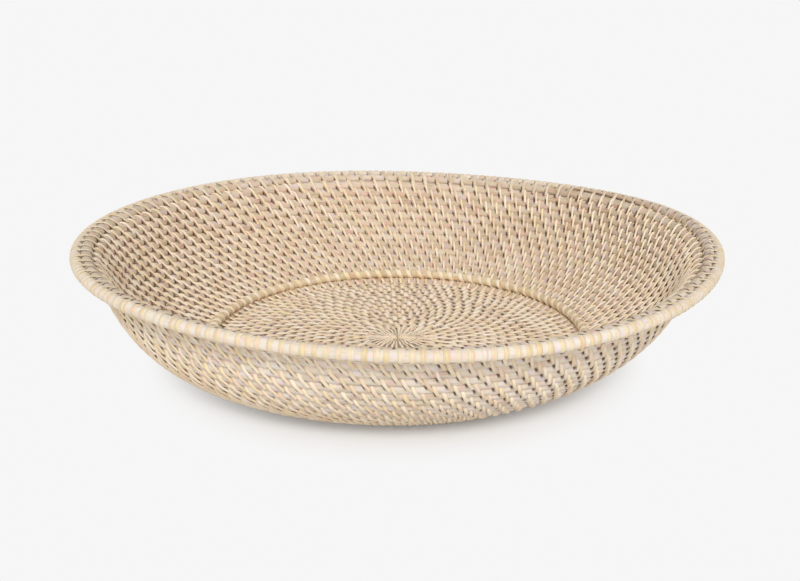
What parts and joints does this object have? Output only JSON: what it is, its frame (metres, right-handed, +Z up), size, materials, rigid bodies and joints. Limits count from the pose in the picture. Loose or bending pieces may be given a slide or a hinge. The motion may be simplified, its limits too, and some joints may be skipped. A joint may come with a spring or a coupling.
{
  "type": "round coiled rattan basket",
  "caption": "Wide shallow round basket of coiled rattan cane with a lashed hoop at the rim and a raised ring round the floor.",
  "frame": {"origin": "centre of the underside, on the surface that the basket stands on", "axes": "+Z up along the basket's axis, X and Y across it; it is round, so X and Y are free"},
  "size_m": [0.4602, 0.4602, 0.0938],
  "materials": {
    "cane": "dry, brushed with a thin white wash",
    "hoop": "dry, white wash",
    "ring": "satin peel",
    "strip": "satin peel"
  },
  "bodies": {
    "root": {"floor_rod_1": "cane", "floor_rod_2": "cane", "wall_rod_1": "cane", "wall_rod_2": "cane", "wall_rod_3": "cane", "wall_rod_4": "cane", "wall_rod_5": "cane", "rim_hoop": "hoop", "ring_rod": "ring", "floor_star": "strip", "rim_lashing": "strip"}
  },
  "joints": []
}
